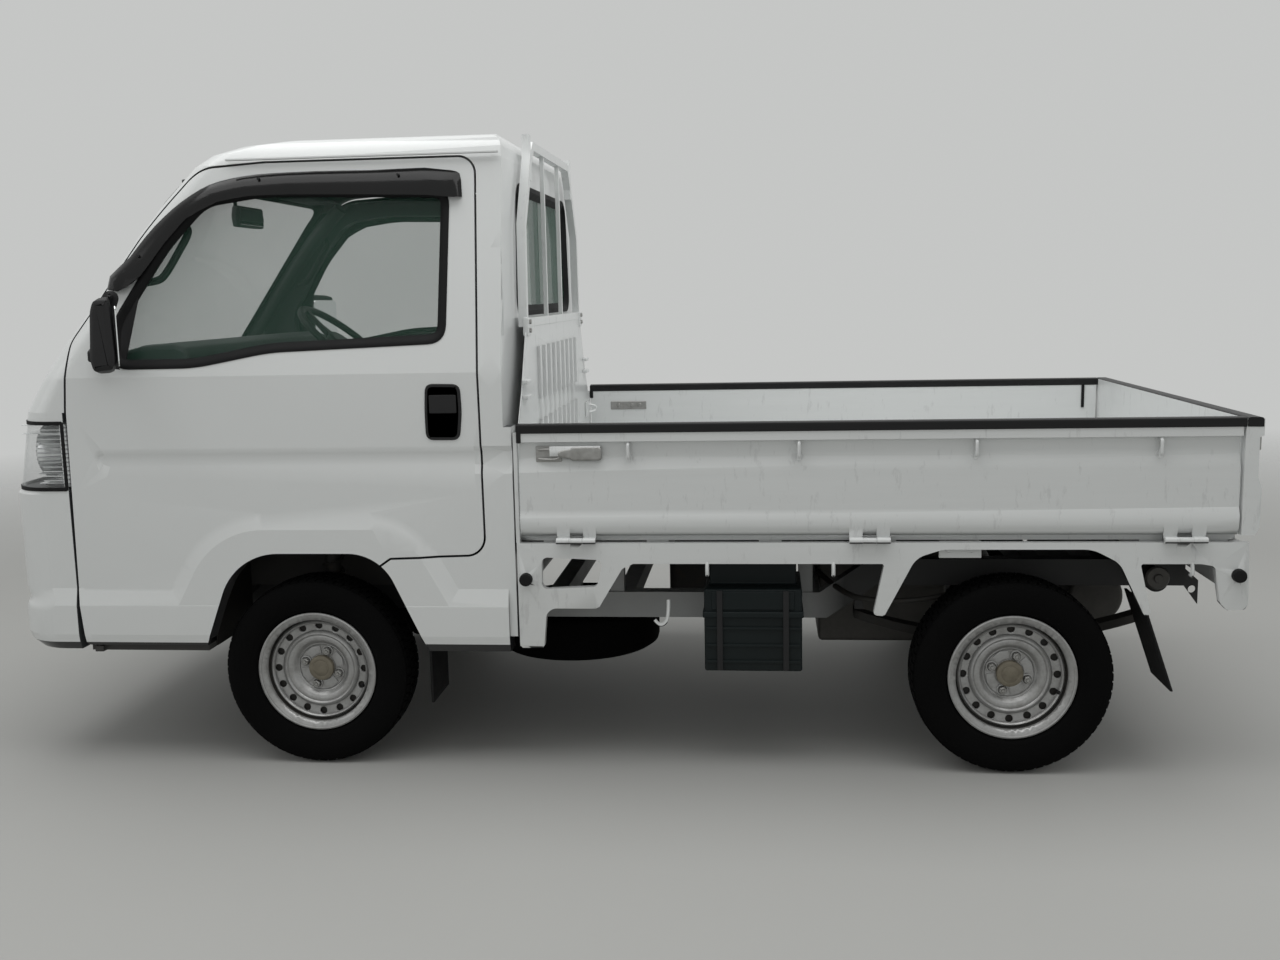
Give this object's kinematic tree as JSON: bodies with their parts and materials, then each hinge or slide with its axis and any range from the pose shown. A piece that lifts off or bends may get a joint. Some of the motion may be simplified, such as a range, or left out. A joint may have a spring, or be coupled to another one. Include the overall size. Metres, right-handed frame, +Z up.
{
  "type": "kei truck",
  "caption": "Small two-seat forward-cab truck with a drop-side load bed, hinged doors and gates, steered front wheels and turning wheels.",
  "frame": {"origin": "on the ground, midway between the front and rear ends and between the two sides", "axes": "+X forward, +Y to the vehicle's left, +Z up"},
  "size_m": [3.395, 1.75, 1.7449],
  "materials": {
    "body_paint": "gloss",
    "black_plastic": "matt",
    "bumper_plastic": "satin",
    "frame_paint": "satin",
    "black_metal": "satin",
    "tyre": "matt",
    "wheel_steel": "satin",
    "glass": "clear",
    "lamp_glass": "clear",
    "seat_fabric": "matt",
    "trim_plastic": "matt",
    "rubber": "matt",
    "bare_steel": "dull"
  },
  "bodies": {
    "chassis": {"roof_panel": "body_paint", "windscreen_frame": "body_paint", "nose_panel": "body_paint", "front_bumper": "bumper_plastic", "cab_back_panel": "body_paint", "cab_sides": "body_paint", "cab_glass": "glass", "cab_floor": "black_metal", "dashboard": "trim_plastic", "seats": "seat_fabric", "bed_floor": "body_paint", "bed_skirts": "body_paint", "rear_panel": "body_paint", "lamps": "lamp_glass", "headboard": "body_paint", "guard_frame": "body_paint", "chassis_frame": "frame_paint", "engine_block": "bare_steel", "rear_suspension": "black_metal", "front_suspension": "black_metal", "spare_wheel": "tyre", "battery_box": "black_plastic", "fuel_tank": "black_metal", "muffler": "bare_steel", "mud_flaps": "rubber"},
    "door_left": {"door_left": "body_paint", "door_glass_left": "glass", "door_mirror_left": "black_plastic"},
    "door_right": {"door_right": "body_paint", "door_glass_right": "glass", "door_mirror_right": "black_plastic"},
    "gate_left": {"gate_left": "body_paint"},
    "gate_right": {"gate_right": "body_paint"},
    "tailgate": {"tailgate": "body_paint"},
    "knuckle_left": {"knuckle_left": "bare_steel"},
    "knuckle_right": {"knuckle_right": "bare_steel"},
    "steering_wheel": {"steering_wheel": "trim_plastic"},
    "wheel_front_left": {"rim_front_left": "wheel_steel", "tyre_front_left": "tyre"},
    "wheel_front_right": {"rim_front_right": "wheel_steel", "tyre_front_right": "tyre"},
    "wheel_rear_left": {"rim_rear_left": "wheel_steel", "tyre_rear_left": "tyre"},
    "wheel_rear_right": {"rim_rear_right": "wheel_steel", "tyre_rear_right": "tyre"}
  },
  "joints": [
    {"name": "door_left_hinge", "type": "hinge", "parent": "chassis", "child": "door_left", "pos_m": [1.428, 0.715, 0.9], "axis": [0, 0, -1], "range_deg": [0, 65]},
    {"name": "door_right_hinge", "type": "hinge", "parent": "chassis", "child": "door_right", "pos_m": [1.428, -0.715, 0.9], "axis": [0, 0, 1], "range_deg": [0, 65]},
    {"name": "gate_left_hinge", "type": "hinge", "parent": "chassis", "child": "gate_left", "pos_m": [-0.7185, 0.7455, 0.643], "axis": [-1, 0, 0], "range_deg": [0, 178]},
    {"name": "gate_right_hinge", "type": "hinge", "parent": "chassis", "child": "gate_right", "pos_m": [-0.7185, -0.7455, 0.643], "axis": [1, 0, 0], "range_deg": [0, 178]},
    {"name": "tailgate_hinge", "type": "hinge", "parent": "chassis", "child": "tailgate", "pos_m": [-1.691, 0, 0.643], "axis": [0, -1, 0], "range_deg": [0, 175]},
    {"name": "steer_left", "type": "hinge", "parent": "chassis", "child": "knuckle_left", "pos_m": [0.8035, 0.58, 0.264], "axis": [0, 0, 1], "range_deg": [-35, 35]},
    {"name": "steer_right", "type": "hinge", "parent": "chassis", "child": "knuckle_right", "pos_m": [0.8035, -0.58, 0.264], "axis": [0, 0, 1], "range_deg": [-35, 35]},
    {"name": "steering_wheel_turn", "type": "hinge", "parent": "chassis", "child": "steering_wheel", "pos_m": [1.025, -0.34, 1.145], "axis": [-0.6428, 0, 0.766], "range_deg": [-560, 560]},
    {"name": "spin_front_left", "type": "hinge", "parent": "knuckle_left", "child": "wheel_front_left", "pos_m": [0.8035, 0.645, 0.264], "axis": [0, 1, 0], "continuous": true},
    {"name": "spin_front_right", "type": "hinge", "parent": "knuckle_right", "child": "wheel_front_right", "pos_m": [0.8035, -0.645, 0.264], "axis": [0, 1, 0], "continuous": true},
    {"name": "spin_rear_left", "type": "hinge", "parent": "chassis", "child": "wheel_rear_left", "pos_m": [-1.0965, 0.645, 0.264], "axis": [0, 1, 0], "continuous": true},
    {"name": "spin_rear_right", "type": "hinge", "parent": "chassis", "child": "wheel_rear_right", "pos_m": [-1.0965, -0.645, 0.264], "axis": [0, 1, 0], "continuous": true}
  ],
  "couplings": [
    {"joint": "steer_right", "follows": "steer_left", "ratio": 1},
    {"joint": "steering_wheel_turn", "follows": "steer_left", "ratio": 16}
  ]
}
